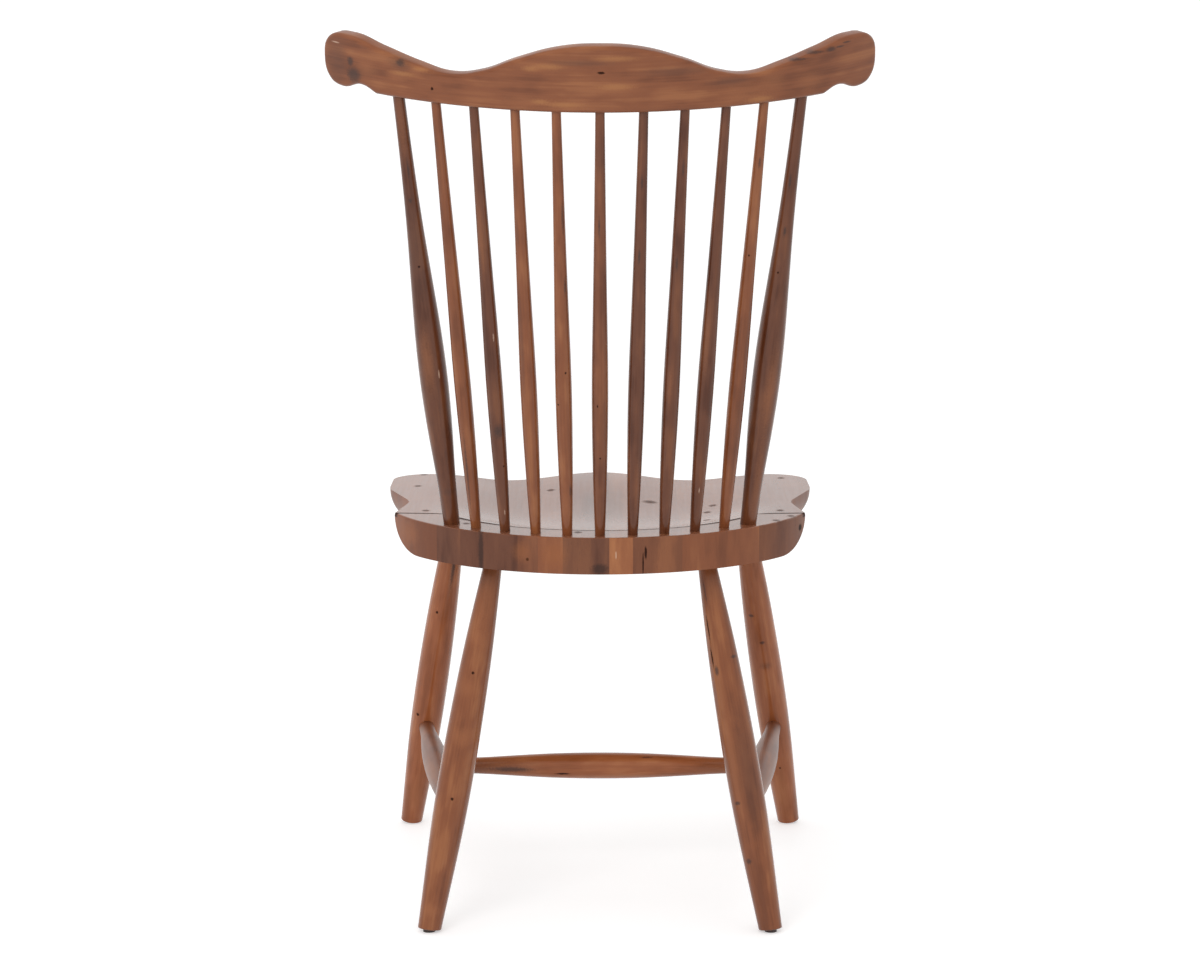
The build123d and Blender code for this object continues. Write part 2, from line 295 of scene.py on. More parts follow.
def raised(tree, height, strength, depth):
    """The normal of a surface with a slight relief."""
    node = put(tree, "ShaderNodeBump", {"Strength": strength, "Distance": depth, "Height": height})
    return node.outputs["Normal"]


def new_material(name):
    """An empty node material."""
    material = bpy.data.materials.new(name)
    material.use_nodes = True
    material.node_tree.nodes.clear()
    return material, material.node_tree


def new_group(name, inputs, outputs):
    """A shader node group whose inputs have a name, a kind and a first value."""
    tree = bpy.data.node_groups.new(name, "ShaderNodeTree")
    for socket_name, kind, value in inputs:
        socket = tree.interface.new_socket(socket_name, in_out="INPUT", socket_type=kind)
        socket.default_value = value
    for socket_name, kind in outputs:
        tree.interface.new_socket(socket_name, in_out="OUTPUT", socket_type=kind)
    return tree, put(tree, "NodeGroupInput").outputs, put(tree, "NodeGroupOutput").inputs


def use_group(tree, group, inputs):
    """Place a group in a material or in another group."""
    return put(tree, "ShaderNodeGroup", inputs, node_tree=group).outputs


def screen_light(value):
    """The light that a screen value from 0 to 255 stands for, by the sRGB curve."""
    return ((value / 255 + 0.055) / 1.055) ** 2.4


def stain(shown, gloss=GLOSS_SHARE):
    """Base colour of a wood tone given as it shows on screen, without the share that gloss adds to it."""
    return tuple(max((screen_light(part) - gloss) / LIGHT_LEVEL, DARKEST) for part in shown) + (1.0,)


PLACE_AND_SEED = [("Place", "NodeSocketVector", (0, 0, 0)), ("Seed", "NodeSocketFloat", 0.0)]


def make_grain_group():
    """Long grain: soft streaks, fine lines, cloudy figure and open pores, drawn out along Z."""
    outputs = [(layer[0], "NodeSocketFloat") for layer in GRAIN_LAYERS]
    tree, given, out = new_group("long_grain", PLACE_AND_SEED, outputs)
    for name, squeeze, scale, detail, low, high in GRAIN_LAYERS:
        drawn_out = vector(tree, "MULTIPLY", given["Place"], (1, 1, squeeze))
        noise = cloud(tree, drawn_out, given["Seed"], scale, detail)
        tree.links.new(between(tree, noise, low, high), out[name])
    return tree


def make_stain_group(grain):
    """Stained wood: the stain takes unevenly over long grain. Gives its colour, gloss and relief."""
    tree, given, out = new_group(
        "stained_wood",
        PLACE_AND_SEED + [("Dark", "NodeSocketColor", (0.06, 0.02, 0.01, 1)),
                          ("Mid", "NodeSocketColor", (0.14, 0.04, 0.02, 1)),
                          ("Light", "NodeSocketColor", (0.25, 0.08, 0.03, 1))],
        [("Color", "NodeSocketColor"), ("Roughness", "NodeSocketFloat"), ("Height", "NodeSocketFloat")],
    )
    wood = use_group(tree, grain, {"Place": given["Place"], "Seed": given["Seed"]})
    tone = weigh(tree, *[(wood[layer], share) for layer, share in TONE_SHARES.items()])
    low_half = blend(tree, between(tree, tone, *DARK_TO_MID), given["Dark"], given["Mid"])
    full = blend(tree, between(tree, tone, *MID_TO_LIGHT), low_half, given["Light"])
    tree.links.new(tint(tree, full, given["Dark"], wood["Pore"], PORE_DARKNESS), out["Color"])
    tree.links.new(weigh(tree, (wood["Line"], LINE_ROUGHNESS), (1.0, WOOD_ROUGHNESS)), out["Roughness"])
    tree.links.new(weigh(tree, (wood["Line"], LINE_RELIEF), (wood["Pore"], -1.0)), out["Height"])
    return tree


def make_speck_group():
    """Scattered wear: small dark holes and short pale scratches."""
    outputs = [(kind[0], "NodeSocketFloat") for kind in SPECK_KINDS]
    tree, given, out = new_group("worn_specks", PLACE_AND_SEED, outputs)
    for name, scale, squeeze, size, rarity in SPECK_KINDS:
        drawn_out = vector(tree, "MULTIPLY", given["Place"], (1, 1, squeeze))
        cells = put(tree, "ShaderNodeTexVoronoi", {"Vector": drawn_out, "W": given["Seed"], "Scale": scale},
                    voronoi_dimensions="4D")
        chosen = put(tree, "ShaderNodeSeparateColor", {"Color": cells.outputs["Color"]}).outputs["Red"]
        near = between(tree, cells.outputs["Distance"], size * SPECK_OUTER, size * SPECK_INNER)
        tree.links.new(calc(tree, "MULTIPLY", near, calc(tree, "GREATER_THAN", chosen, rarity)), out[name])
    return tree


def make_mark_group():
    """One mark in its own place (wear and stains, and also painted shade and highlight): 1 inside an
    egg-shaped spot with a ragged, soft edge.
    """
    tree, given, out = new_group(
        "wear_and_shade_mark",
        [("Place", "NodeSocketVector", (0, 0, 0)), ("Centre", "NodeSocketVector", (0, 0, 0)),
         ("Size", "NodeSocketVector", (0.01, 0.01, 0.01)), ("Softness", "NodeSocketFloat", 0.4)],
        [("Mask", "NodeSocketFloat")],
    )
    offset = vector(tree, "DIVIDE", vector(tree, "SUBTRACT", given["Place"], given["Centre"]), given["Size"])
    ragged = cloud(tree, given["Place"], 0.0, MARK_RAGGED_SCALE, detail=1.0)
    distance = weigh(tree, (length(tree, offset), 1.0), (ragged, MARK_RAGGEDNESS),
                     (1.0, -MARK_RAGGEDNESS / 2))
    outer = calc(tree, "ADD", 1.0, given["Softness"])
    inner = calc(tree, "SUBTRACT", 1.0, given["Softness"])
    tree.links.new(between(tree, distance, outer, inner), out["Mask"])
    return tree


def make_gutter_group():
    """Dirt and painted shade in the gutter and along its rear lip: an arc with a straight wing at each end.
    """
    tree, given, out = new_group(
        "gutter_dirt_and_shade", [("Place", "NodeSocketVector", (0, 0, 0))], [("Mask", "NodeSocketFloat")])
    seat_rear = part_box("seat_stave_7")[1]
    arc_centre = (0, seat_rear.y - SEAT_ARC_RADIUS, 0)
    from_centre = vector(tree, "MULTIPLY", vector(tree, "SUBTRACT", given["Place"], arc_centre), (1, 1, 0))
    parts = split(tree, from_centre)
    from_arc = calc(tree, "SUBTRACT", length(tree, from_centre), GUTTER_RADIUS)
    bend_x = GUTTER_RADIUS * math.sin(GUTTER_ANGLE)
    bend_y = GUTTER_RADIUS * math.cos(GUTTER_ANGLE)
    slope = (GUTTER_WING[1] - bend_y) / (GUTTER_WING[0] - bend_x)
    outward = calc(tree, "ABSOLUTE", parts["X"])
    wing_line = weigh(tree, (outward, slope), (1.0, bend_y - slope * bend_x))
    from_wing = calc(tree, "SUBTRACT", parts["Y"], wing_line)
    on_wing = calc(tree, "GREATER_THAN", outward, bend_x)
    off_line = calc(tree, "ADD", calc(tree, "MULTIPLY", from_wing, on_wing),
                    calc(tree, "MULTIPLY", from_arc, calc(tree, "SUBTRACT", 1.0, on_wing)))
    behind = between(tree, off_line, GUTTER_HALF_WIDTH + GUTTER_DARK_BEHIND, GUTTER_HALF_WIDTH)
    before = between(tree, off_line, -GUTTER_FRONT * GUTTER_HALF_WIDTH, -GUTTER_HALF_WIDTH)
    near = calc(tree, "MULTIPLY", behind, before)
    height = split(tree, given["Place"])["Z"]
    on_top = calc(tree, "GREATER_THAN", height, seat_rear.z - GUTTER_REACH)
    at_rear = calc(tree, "GREATER_THAN", parts["Y"], GUTTER_WING[1] - GUTTER_HALF_WIDTH)
    tree.links.new(calc(tree, "MULTIPLY", calc(tree, "MULTIPLY", near, on_top), at_rear), out["Mask"])
    return tree


def make_top_group():
    """1 on faces that look up and 0 on upright ones."""
    tree, given, out = new_group(
        "level_top", [("Normal", "NodeSocketVector", (0, 0, 1))], [("Mask", "NodeSocketFloat")])
    tree.links.new(between(tree, split(tree, given["Normal"])["Z"], *LEVEL_RANGE), out["Mask"])
    return tree


GRAIN = make_grain_group()
STAIN = make_stain_group(GRAIN)
SPECKS = make_speck_group()
MARK = make_mark_group()
GUTTER = make_gutter_group()
TOP = make_top_group()


def lay_marks(tree, colour, worn, marks, mark_place):
    """Lay marks over a colour: wear and stains, and also painted shade and highlight. Returns the colour and
    how far the surface is worn.
    """
    for kind, centre, size in marks:
        mark_colour, strength, softness, depth = MARKS[kind]
        shape = {"Place": mark_place, "Centre": centre, "Size": size, "Softness": softness}
        mask = use_group(tree, MARK, shape)["Mask"]
        colour = tint(tree, colour, mark_colour, mask, strength)
        if depth > 0:
            worn = calc(tree, "MAXIMUM", worn, calc(tree, "MULTIPLY", mask, depth))
    return colour, worn


def wood_material(name, place, seed, tone, marks=(), is_seat=False, top_coat=1.0, side_coat=1.0,
                  coat_roughness=COAT_ROUGHNESS):
    """Stained and lacquered wood with its own marks of wear, among them painted shade and a painted
    highlight.

    place adds the nodes that give the grain's coordinates and the marks' coordinates, and returns both.
    top_coat and side_coat say how much lacquer is left on faces that look up and on upright ones.
    """
    material, tree = new_material(name)
    grain_place, mark_place = place(tree)
    gloss = SEAT_GLOSS_SHARE if is_seat else GLOSS_SHARE
    dark, mid, light = [stain(shown, gloss) for shown in TONES[tone]]
    wood = use_group(tree, STAIN, {"Place": grain_place, "Seed": seed,
                                   "Dark": dark, "Mid": mid, "Light": light})
    normal = put(tree, "ShaderNodeNewGeometry").outputs["Normal"]
    top = use_group(tree, TOP, {"Normal": normal})["Mask"]
    specks = use_group(tree, SPECKS, {"Place": grain_place, "Seed": seed})
    colour = wood["Color"]
    if is_seat:
        colour = tint(tree, colour, stain(FADED), top, FADING)
    colour = tint(tree, colour, FLECK_COLOUR, specks["Scratch"], SCRATCH_STRENGTH)
    colour = tint(tree, colour, HOLE_COLOUR, specks["Hole"], HOLE_STRENGTH)
    colour, worn = lay_marks(tree, colour, specks["Hole"], marks, mark_place)
    if is_seat:
        # Dirt and painted shade along the gutter, in the holes' colour, where the lacquer is also taken off
        dirt_and_shade = use_group(tree, GUTTER, {"Place": mark_place})["Mask"]
        colour = tint(tree, colour, HOLE_COLOUR, dirt_and_shade, GUTTER_DIRT_AND_SHADE_STRENGTH)
        worn = calc(tree, "MAXIMUM", worn, dirt_and_shade)
    relief = weigh(tree, (wood["Height"], GRAIN_RELIEF), (worn, -1.0))
    uneven = raised(tree, relief, *WOOD_RELIEF)
    coat = span(tree, top, side_coat, top_coat)
    lacquer = calc(tree, "MULTIPLY", calc(tree, "SUBTRACT", 1.0, worn), coat)
    shader = put(tree, "ShaderNodeBsdfPrincipled",
                 {"Base Color": colour, "Roughness": wood["Roughness"], "Normal": uneven,
                  "Specular IOR Level": UNDER_COAT_SPECULAR, "Coat Weight": lacquer,
                  "Coat Roughness": coat_roughness, "Coat IOR": COAT_IOR})
    put(tree, "ShaderNodeOutputMaterial", {"Surface": shader.outputs["BSDF"]})
    return material


def stick_frame(node):
    """Lower end, turn and length of a turned piece.

    Z runs up its own axis. Y faces the rear, or up on a piece that runs fore and aft.
    """
    points = np.array([vertex.co for vertex in node.data.vertices])
    centre = points.mean(axis=0)
    axis = Vector(np.linalg.eigh(np.cov((points - centre).T))[1][:, -1])
    if axis.z + LEVEL_PULL * axis.x < 0:
        axis.negate()
    heights = (points - centre) @ np.array(axis)
    low = Vector(centre) + axis * float(heights.min())
    rear = Vector((0, 0, 1)) if abs(axis.y) > FORE_AND_AFT else Vector((0, 1, 0))
    across = rear.cross(axis).normalized()
    turn = Matrix((across, axis.cross(across), axis)).transposed().to_euler()
    return low, turn, float(np.ptp(heights))


def stick_place(low, turn):
    """Coordinates of a turned piece, for its grain and its marks alike."""
    def place(tree):
        along_stick = put(tree, "ShaderNodeMapping",
                          {"Vector": own_place(tree), "Location": low, "Rotation": turn},
                          vector_type="TEXTURE").outputs["Vector"]
        return along_stick, along_stick
    return place


def stave_place(tree):
    """Coordinates of a seat stave: its grain runs from front to back, and its marks lie as they are given."""
    here = own_place(tree)
    parts = split(tree, here)
    across = calc(tree, "MULTIPLY", parts["X"], STAVE_SQUEEZE_ACROSS)
    upright = calc(tree, "MULTIPLY", parts["Z"], STAVE_SQUEEZE_UP)
    grain = put(tree, "ShaderNodeCombineXYZ", {"X": across, "Y": upright, "Z": parts["Y"]}).outputs["Vector"]
    return grain, here


def board_place(tree):
    """Coordinates of the bent crest board, kept from before it was bent."""
    flat = put(tree, "ShaderNodeAttribute", attribute_name="board_place").outputs["Vector"]
    return flat, flat


def dress(piece, material):
    """Give a piece its material."""
    slots = piece.data.materials
    slots.clear()
    slots.append(material)


# Crest board: sawn outline with eased edges, then bent to its arc
def crest_outline():
    """The flat board as a filled curve, its edges rounded over."""
    curve = bpy.data.curves.new("crest_board", "CURVE")
    curve.dimensions = "2D"
    curve.fill_mode = "BOTH"
    curve.extrude = CREST_THICKNESS / 2 - CREST_EASE
    curve.bevel_depth = CREST_EASE
    curve.bevel_resolution = CREST_EASE_STEPS
    curve.offset = -CREST_EASE
    curve.resolution_u = CREST_CURVE_STEPS
    half = list(CREST_WAVE) + list(CREST_EAR) + [(CREST_NOTCH_END, 0.0)]
    outline = [(0.0, CREST_MIDDLE_HEIGHT)] + half + [(-along, height) for along, height in reversed(half)]
    spline = curve.splines.new("BEZIER")
    spline.bezier_points.add(len(outline) - 1)
    for point, (along, height) in zip(spline.bezier_points, outline):
        point.co = (along, height, 0)
        is_corner = height == 0.0
        point.handle_left_type = point.handle_right_type = "VECTOR" if is_corner else "AUTO"
    spline.use_cyclic_u = True
    return curve


def bend_crest():
    """The crest board as a mesh in its place, with its flat coordinates kept for the grain."""
    flat = bpy.data.objects.new("crest_board", crest_outline())
    bpy.context.scene.collection.objects.link(flat)
    bpy.context.view_layer.update()
    mesh = bpy.data.meshes.new_from_object(flat.evaluated_get(bpy.context.evaluated_depsgraph_get()))
    bpy.data.objects.remove(flat)
    board = bmesh.new()
    board.from_mesh(mesh)
    bmesh.ops.remove_doubles(board, verts=board.verts, dist=CREST_WELD)
    reach = max(vertex.co.x for vertex in board.verts)
    cuts = int(reach / CREST_STRIP)
    for cut in range(-cuts, cuts + 1):
        everything = board.verts[:] + board.edges[:] + board.faces[:]
        bmesh.ops.bisect_plane(board, geom=everything, plane_co=(cut * CREST_STRIP, 0, 0),
                               plane_no=(1, 0, 0), dist=CREST_CUT_SLACK)
    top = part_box("crest_rail")[1]
    lean_back = Vector((0, math.sin(BACK_LEAN), math.cos(BACK_LEAN)))
    rearward = Vector((0, math.cos(BACK_LEAN), -math.sin(BACK_LEAN)))
    middle_y = top.y - CREST_THICKNESS / 2 * rearward.y - CREST_MIDDLE_HEIGHT * lean_back.y
    bend_axis = Vector((0, middle_y, CREST_BOTTOM)) - rearward * CREST_RADIUS
    keep = board.verts.layers.float_vector.new("board_place")
    for vertex in board.verts:
        along, height, depth = vertex.co
        vertex[keep] = (height, depth, along)
        turn = along / CREST_RADIUS
        on_arc = Vector((math.sin(turn), 0, 0)) + rearward * math.cos(turn)
        vertex.co = bend_axis + on_arc * (CREST_RADIUS + depth) + lean_back * height
    bmesh.ops.recalc_face_normals(board, faces=board.faces)
    board.to_mesh(mesh)
    board.free()
    mesh.polygons.foreach_set("use_smooth", [True] * len(mesh.polygons))
    mesh.set_sharp_from_angle(angle=CREST_SHARP_ANGLE)
    return mesh


# Marks on the crest's rear face: kind, distance from the middle toward +X, height, half length and height
CREST_MARKS = (
    ("patch", 0.264, 0.028, 0.012, 0.008), ("patch", 0.224, 0.026, 0.012, 0.005),
    ("patch", 0.198, 0.035, 0.016, 0.004), ("patch", 0.060, 0.051, 0.026, 0.005),
    ("patch", 0.040, 0.009, 0.026, 0.006), ("patch", 0.078, 0.012, 0.020, 0.005),
    ("patch", -0.016, 0.029, 0.026, 0.006), ("patch", -0.150, 0.014, 0.022, 0.010),
    ("patch", -0.174, 0.006, 0.014, 0.006), ("patch", -0.188, 0.024, 0.012, 0.010),
    ("patch", -0.235, 0.018, 0.014, 0.008), ("shade", 0.020, 0.056, 0.030, 0.003),
    ("shade", -0.080, 0.045, 0.030, 0.004), ("shade", -0.140, 0.030, 0.020, 0.004),
    # The shade at 0.306 is painted shade along the outer edge of the ear at +X
    ("shade", 0.306, 0.030, 0.012, 0.022), ("smudge", 0.2825, 0.0171, 0.009, 0.008),
    ("smudge", 0.287, 0.032, 0.004, 0.005), ("shade", 0.221, 0.040, 0.012, 0.008),
    ("smudge", 0.221, 0.041, 0.005, 0.004), ("smudge", -0.261, 0.050, 0.006, 0.0026),
    ("smudge", -0.216, 0.0442, 0.016, 0.0014), ("smudge", -0.239, 0.0492, 0.012, 0.0014),
    ("hole", 0.1829, 0.0167, 0.0016, 0.0018), ("hole", -0.001, 0.0455, 0.0040, 0.0015),
    ("smudge", -0.273, 0.0510, 0.0050, 0.0011), ("smudge", -0.282, 0.0545, 0.0050, 0.0010),
    # The fleck at 0.3075 is a painted highlight near the ear's rounded upper edge
    ("fleck", 0.3075, 0.0500, 0.0050, 0.0008), ("bloom", 0.055, 0.0514, 0.014, 0.0028),
    ("bloom", 0.073, 0.0484, 0.008, 0.0026), ("bloom", 0.037, 0.0095, 0.016, 0.0026),
    ("bloom", 0.063, 0.0120, 0.008, 0.0024), ("bloom", 0.197, 0.0365, 0.008, 0.0020),
    ("bloom", -0.016, 0.0299, 0.016, 0.0030), ("bloom", -0.016, 0.0610, 0.020, 0.0026),
    ("bloom", -0.174, 0.0060, 0.012, 0.0030), ("bloom", 0.218, 0.0290, 0.014, 0.0022),
)
crest = bpy.data.objects.new("crest_board", bend_crest())
bpy.context.scene.collection.objects.link(crest)
crest_marks = [(kind, (height, BOARD_MARK_DEPTH, along), (half_height, BOARD_MARK_DEPTH, half_length))
               for kind, along, height, half_length, half_height in CREST_MARKS]
dress(crest, wood_material("crest_wood", board_place, CREST_SEED, "russet", crest_marks,
                           top_coat=CREST_TOP_COAT))
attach(crest, "root")
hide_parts("crest_rail")

# Seat: the tone of each stave, and the marks as kind, place and half sizes
STAVE_TONES = (
    "russet", "plum", "plum", "plum", "brown", "russet", "plum", "amber", "brown", "russet", "brown",
)
DENT_SIZE = (0.0045, 0.006, 0.020)
DENT_HEIGHT = 0.450
SEAT_DENTS = (
    (0.218, -0.2435), (0.2214, -0.159), (0.204, 0.009), (0.060, -0.168), (0.153, 0.101), (0.025, 0.157),
    (-0.135, -0.082), (-0.127, -0.044), (-0.125, 0.018), (-0.223, -0.218), (-0.211, 0.008), (-0.2216, 0.051),
    (-0.203, 0.080),
)
SEAT_MARKS = [("dent", (across, rearward, DENT_HEIGHT), DENT_SIZE) for across, rearward in SEAT_DENTS] + [
    ("dent", (-0.060, -0.102, 0.447), (0.008, 0.008, 0.020)),
    ("hole", (0.082, 0.178, 0.430), (0.0016, 0.010, 0.0017)),
    ("hole", (-0.0515, 0.186, 0.439), (0.0014, 0.010, 0.007)),
    ("hole", (-0.0485, 0.186, 0.426), (0.0008, 0.010, 0.013)),
    ("fleck", (-0.018, 0.191, 0.437), (0.0008, 0.010, 0.004)),
    ("hole", (-0.233, 0.043, 0.442), (0.0030, 0.006, 0.0040)),
    ("smudge", (0.135, 0.160, 0.435), (0.0030, 0.030, 0.030)),
    ("smudge", (0.000, 0.190, 0.421), (0.0090, 0.010, 0.006)),
    ("shade", (0.014, -0.060, 0.450), (0.0070, 0.080, 0.030)),
    ("shade", (-0.022, -0.060, 0.450), (0.0070, 0.110, 0.030)),
    ("shade", (-0.012, -0.080, 0.450), (0.0050, 0.160, 0.030)),
    ("patch", (0.088, 0.178, 0.438), (0.0090, 0.020, 0.010)),
    ("patch", (0.052, 0.184, 0.436), (0.0120, 0.020, 0.014)),
    ("patch", (0.222, 0.060, 0.440), (0.0120, 0.030, 0.012)),
]


def marks_reaching(low, high):
    """The seat's marks that reach into the strip between two places across it."""
    return [(kind, centre, size) for kind, centre, size in SEAT_MARKS
            if low < centre[0] + size[0] and centre[0] - size[0] < high]


for number, tone in enumerate(STAVE_TONES, start=1):
    name = f"seat_stave_{number}"
    low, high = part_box(name)
    stave_wood = wood_material(f"stave_wood_{number}", stave_place, STAVE_SEED_STEP * number, tone,
                               marks_reaching(low.x, high.x), is_seat=True, side_coat=SEAT_EDGE_COAT)
    dress(nodes[name], stave_wood)

# Turned pieces: lengths hidden in the sockets at the lower and upper end
BACK_ENDS = (0.022, 0.020)
LEG_ENDS = (0.0, 0.024)
FULL_LENGTH = (0.0, 0.0)

# Tone, hidden ends, and marks as kind, share of the way up, place across, half width and half length
STICKS = {
    "post_left": ("plum", BACK_ENDS, (
        ("patch", 0.93, 0.000, 0.006, 0.030), ("patch", 0.40, 0.004, 0.006, 0.030),
        # The shade at 0.15, on the post's inner side toward the spindles, is painted shade
        ("shade", 0.66, 0.000, 0.020, 0.050), ("shade", 0.15, -0.010, 0.005, 0.070),
        ("smudge", 0.838, -0.001, 0.0014, 0.012), ("smudge", 0.769, 0.001, 0.0018, 0.003),
        ("hole", 0.620, 0.000, 0.0015, 0.0015), ("fleck", 0.370, -0.0075, 0.0008, 0.005),
        ("shade", 0.085, -0.002, 0.008, 0.004))),
    "spindle_1": ("russet", BACK_ENDS, (
        ("patch", 0.62, -0.002, 0.003, 0.022), ("patch", 0.22, -0.001, 0.003, 0.026),
        ("smudge", 0.14, 0.004, 0.0014, 0.050), ("shade", 0.86, 0.003, 0.0020, 0.040))),
    "spindle_2": ("plum", BACK_ENDS, (
        ("patch", 0.70, 0.003, 0.0020, 0.040), ("fleck", 0.472, -0.003, 0.0008, 0.005),
        ("smudge", 0.248, -0.001, 0.006, 0.009), ("hole", 0.163, -0.004, 0.0012, 0.0015),
        ("fleck", 0.050, -0.001, 0.0007, 0.004))),
    "spindle_3": ("russet", BACK_ENDS, (
        ("patch", 0.225, 0.000, 0.004, 0.018), ("shade", 0.72, 0.004, 0.0020, 0.014),
        ("shade", 0.45, 0.005, 0.0020, 0.050))),
    "spindle_4": ("russet", BACK_ENDS, (
        ("patch", 0.67, 0.000, 0.004, 0.014), ("patch", 0.08, 0.001, 0.004, 0.020),
        ("smudge", 0.757, -0.004, 0.0016, 0.020), ("smudge", 0.600, -0.0045, 0.0014, 0.012),
        ("hole", 0.398, -0.0028, 0.0012, 0.0015), ("hole", 0.322, 0.0065, 0.0011, 0.0015),
        ("smudge", 0.110, -0.0050, 0.0020, 0.009))),
    "spindle_5": ("brown", BACK_ENDS, (
        ("shade", 0.90, 0.000, 0.006, 0.030), ("smudge", 0.740, 0.001, 0.0013, 0.013),
        ("hole", 0.320, 0.0030, 0.0009, 0.0020), ("hole", 0.194, 0.000, 0.0011, 0.0013))),
    "spindle_6": ("plum", BACK_ENDS, (
        ("smudge", 0.840, 0.000, 0.0016, 0.009), ("smudge", 0.670, 0.001, 0.0016, 0.010),
        ("patch", 0.12, -0.003, 0.003, 0.030))),
    "spindle_7": ("plum", BACK_ENDS, (
        ("smudge", 0.868, -0.001, 0.0016, 0.010), ("smudge", 0.650, 0.001, 0.0018, 0.008),
        ("patch", 0.36, 0.003, 0.003, 0.024))),
    "spindle_8": ("plum", BACK_ENDS, (
        ("patch", 0.45, 0.003, 0.003, 0.030), ("fleck", 0.105, -0.001, 0.0007, 0.004))),
    "spindle_9": ("russet", BACK_ENDS, (
        ("smudge", 0.864, -0.001, 0.0014, 0.008), ("hole", 0.654, 0.001, 0.0011, 0.0015),
        ("shade", 0.20, -0.003, 0.003, 0.060))),
    "post_right": ("plum", BACK_ENDS, (
        ("smudge", 0.810, 0.001, 0.0014, 0.009), ("smudge", 0.700, 0.000, 0.0018, 0.006),
        ("hole", 0.606, 0.002, 0.0013, 0.0015), ("patch", 0.10, -0.006, 0.005, 0.050),
        # The shade at 0.15, on the post's inner side toward the spindles, is painted shade
        ("patch", 0.33, -0.006, 0.006, 0.040), ("shade", 0.15, 0.008, 0.004, 0.070))),
    "leg_rear_left": ("russet", LEG_ENDS, (
        ("patch", 0.785, 0.002, 0.010, 0.008), ("patch", 0.65, 0.004, 0.012, 0.009),
        ("patch", 0.52, 0.000, 0.012, 0.009), ("patch", 0.054, 0.002, 0.009, 0.006),
        ("patch", 0.90, 0.000, 0.010, 0.040), ("hole", 0.693, 0.0015, 0.0017, 0.0017),
        ("hole", 0.354, 0.000, 0.0017, 0.0017))),
    "leg_rear_right": ("russet", LEG_ENDS, (
        ("patch", 0.90, -0.003, 0.008, 0.030), ("patch", 0.46, 0.010, 0.005, 0.060),
        ("shade", 0.42, -0.006, 0.010, 0.060), ("smudge", 0.917, 0.0078, 0.0008, 0.014),
        ("hole", 0.820, 0.0114, 0.0008, 0.016), ("hole", 0.740, 0.0126, 0.0009, 0.012),
        ("smudge", 0.703, 0.0100, 0.0022, 0.005), ("smudge", 0.733, -0.012, 0.003, 0.002),
        ("smudge", 0.347, 0.0125, 0.003, 0.002), ("smudge", 0.190, 0.0110, 0.003, 0.003))),
    "leg_front_left": ("copper", LEG_ENDS, (
        ("hole", 0.701, 0.0060, 0.0017, 0.0017), ("shade", 0.84, -0.006, 0.003, 0.050),
        ("hole", 0.367, 0.0115, 0.0019, 0.0019), ("smudge", 0.86, -0.006, 0.0020, 0.030),
        ("patch", 0.10, 0.000, 0.008, 0.020))),
    "leg_front_right": ("copper", LEG_ENDS, (
        ("smudge", 0.695, 0.0086, 0.0030, 0.0020), ("smudge", 0.608, 0.000, 0.0030, 0.0020),
        ("shade", 0.533, 0.000, 0.0070, 0.0040), ("hole", 0.196, 0.001, 0.0014, 0.0014),
        ("patch", 0.12, 0.002, 0.006, 0.030))),
    "side_stretcher_left": ("brown", FULL_LENGTH, ()),
    "side_stretcher_right": ("brown", FULL_LENGTH, ()),
    "medial_stretcher": ("copper", FULL_LENGTH, (
        ("smudge", 0.771, 0.002, 0.003, 0.024), ("shade", 0.84, 0.000, 0.014, 0.045),
        ("shade", 0.89, 0.000, 0.014, 0.035), ("hole", 0.615, 0.007, 0.0012, 0.009),
        ("smudge", 0.357, -0.012, 0.0010, 0.008), ("shade", 0.13, 0.000, 0.012, 0.030))),
}
for count, (name, (tone, (low_hidden, high_hidden), spots)) in enumerate(STICKS.items()):
    low, turn, whole = stick_frame(nodes[name])
    shown = whole - low_hidden - high_hidden
    stick_marks = [(kind, (across, STICK_MARK_DEPTH, low_hidden + share * shown),
                    (half_width, STICK_MARK_DEPTH, half_length))
                   for kind, share, across, half_width, half_length in spots]
    sheen = WORN_COAT_ROUGHNESS if name.startswith("side_stretcher") else COAT_ROUGHNESS
    seed = FIRST_STICK_SEED + STICK_SEED_STEP * count
    stick_wood = wood_material(name + "_wood", stick_place(low, turn), seed, tone, stick_marks,
                               coat_roughness=sheen)
    dress(nodes[name], stick_wood)


def glide_material():
    """Dark moulded plastic, dusty from the floor."""
    material, tree = new_material("glide_plastic")
    dust = between(tree, cloud(tree, own_place(tree), GLIDE_SEED, DUST_SCALE), *DUST_RANGE)
    colour = blend(tree, dust, GLIDE_PLAIN, GLIDE_DUSTY)
    roughness = span(tree, dust, *GLIDE_ROUGHNESS)
    uneven = raised(tree, dust, *DUST_RELIEF)
    shader = put(tree, "ShaderNodeBsdfPrincipled",
                 {"Base Color": colour, "Roughness": roughness, "Normal": uneven})
    put(tree, "ShaderNodeOutputMaterial", {"Surface": shader.outputs["BSDF"]})
    return material


def nail_material():
    """Plain drawn steel."""
    material, tree = new_material("nail_steel")
    drawn_out = vector(tree, "MULTIPLY", own_place(tree), (1, 1, NAIL_SQUEEZE))
    drawn = cloud(tree, drawn_out, NAIL_SEED, NAIL_SCALE)
    colour = blend(tree, drawn, NAIL_DARK, NAIL_BRIGHT)
    roughness = span(tree, drawn, *NAIL_ROUGHNESS)
    uneven = raised(tree, drawn, *NAIL_RELIEF)
    shader = put(tree, "ShaderNodeBsdfPrincipled",
                 {"Base Color": colour, "Roughness": roughness, "Metallic": 1.0, "Normal": uneven})
    put(tree, "ShaderNodeOutputMaterial", {"Surface": shader.outputs["BSDF"]})
    return material


glide_plastic = glide_material()
for name in ("glide_front_left", "glide_front_right", "glide_rear_left", "glide_rear_right"):
    dress(nodes[name], glide_plastic)
dress(nodes["glide_nails"], nail_material())


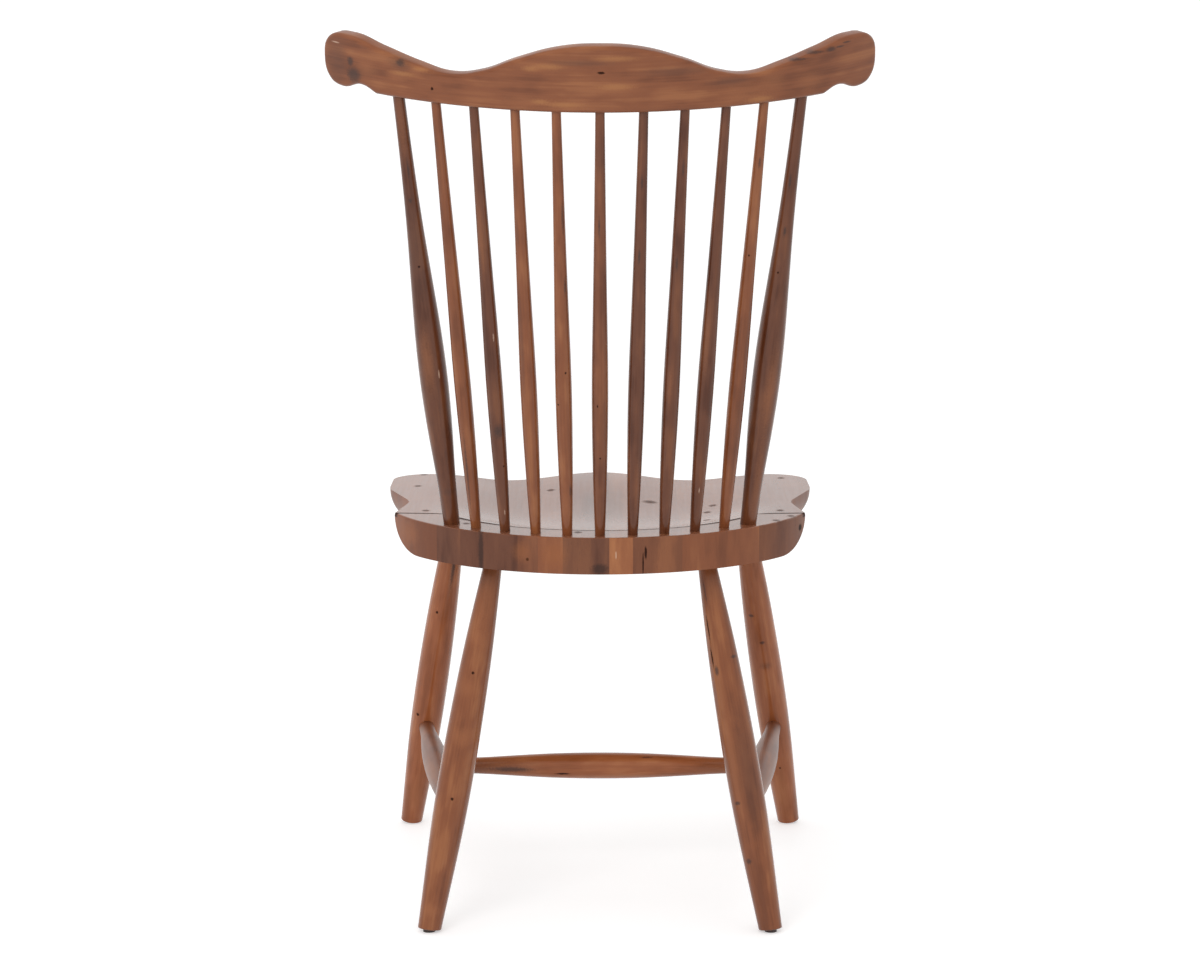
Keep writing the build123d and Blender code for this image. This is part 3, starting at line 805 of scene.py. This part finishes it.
# Floor, light and camera
def seen_directly(tree):
    """1 for rays that show the surroundings themselves, and 0 for those that only carry light."""
    path = put(tree, "ShaderNodeLightPath").outputs
    shown = calc(tree, "MAXIMUM", path["Is Camera Ray"], path["Is Glossy Ray"])
    return calc(tree, "MAXIMUM", shown, path["Is Transmission Ray"])


def floor_material():
    """Pale paint, whitened where it is seen itself."""
    material, tree = new_material("floor_paint")
    paint = put(tree, "ShaderNodeBsdfPrincipled",
                {"Base Color": FLOOR_COLOUR, "Roughness": FLOOR_ROUGHNESS,
                 "Specular IOR Level": FLOOR_SPECULAR})
    glow = put(tree, "ShaderNodeEmission",
               {"Strength": calc(tree, "MULTIPLY", seen_directly(tree), FLOOR_WHITENING)})
    both = put(tree, "ShaderNodeAddShader", {0: paint.outputs["BSDF"], 1: glow.outputs["Emission"]})
    put(tree, "ShaderNodeOutputMaterial", {"Surface": both.outputs["Shader"]})
    return material


def lay_floor():
    """A plain floor that keeps the chair's shadow."""
    disc = bmesh.new()
    bmesh.ops.create_circle(disc, cap_ends=True, segments=FLOOR_SIDES, radius=FLOOR_RADIUS)
    mesh = bpy.data.meshes.new("floor")
    disc.to_mesh(mesh)
    disc.free()
    floor = bpy.data.objects.new("floor", mesh)
    floor.location.z = -FLOOR_DROP
    bpy.context.scene.collection.objects.link(floor)
    mesh.materials.append(floor_material())


def light_room():
    """Even white surroundings and one large soft lamp, high up on the camera's left."""
    world = bpy.data.worlds.new("room")
    bpy.context.scene.world = world
    world.use_nodes = True
    tree = world.node_tree
    tree.nodes.clear()
    strength = span(tree, seen_directly(tree), ROOM_LIGHT, 1.0)
    white = put(tree, "ShaderNodeBackground", {"Color": (1, 1, 1, 1), "Strength": strength})
    put(tree, "ShaderNodeOutputWorld", {"Surface": white.outputs["Background"]})
    lamp = bpy.data.lights.new("key", "AREA")
    lamp.shape = "DISK"
    lamp.size = KEY_SIZE
    lamp.energy = KEY_POWER
    key = bpy.data.objects.new("key", lamp)
    key.location = KEY_PLACE
    key.rotation_euler = (Vector(KEY_TARGET) - Vector(KEY_PLACE)).to_track_quat("-Z", "Y").to_euler()
    key.visible_glossy = False
    bpy.context.scene.collection.objects.link(key)


def set_camera():
    """The photograph's view: straight behind the chair, tilted down a little."""
    lens = bpy.data.cameras.new("camera")
    lens.sensor_fit = "HORIZONTAL"
    lens.sensor_width = SENSOR_WIDTH
    lens.lens = FOCAL_PIXELS * SENSOR_WIDTH / IMAGE_WIDTH
    lens.clip_end = 2 * FLOOR_RADIUS
    camera = bpy.data.objects.new("camera", lens)
    seat_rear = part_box("seat_stave_7")[1].y
    camera.location = (0, seat_rear + CAMERA_BEHIND_SEAT, CAMERA_HEIGHT)
    camera.rotation_euler = (math.pi / 2 - CAMERA_TILT, 0, math.pi)
    bpy.context.scene.collection.objects.link(camera)
    bpy.context.scene.camera = camera


lay_floor()
light_room()
set_camera()
bpy.context.scene.view_settings.view_transform = "Standard"
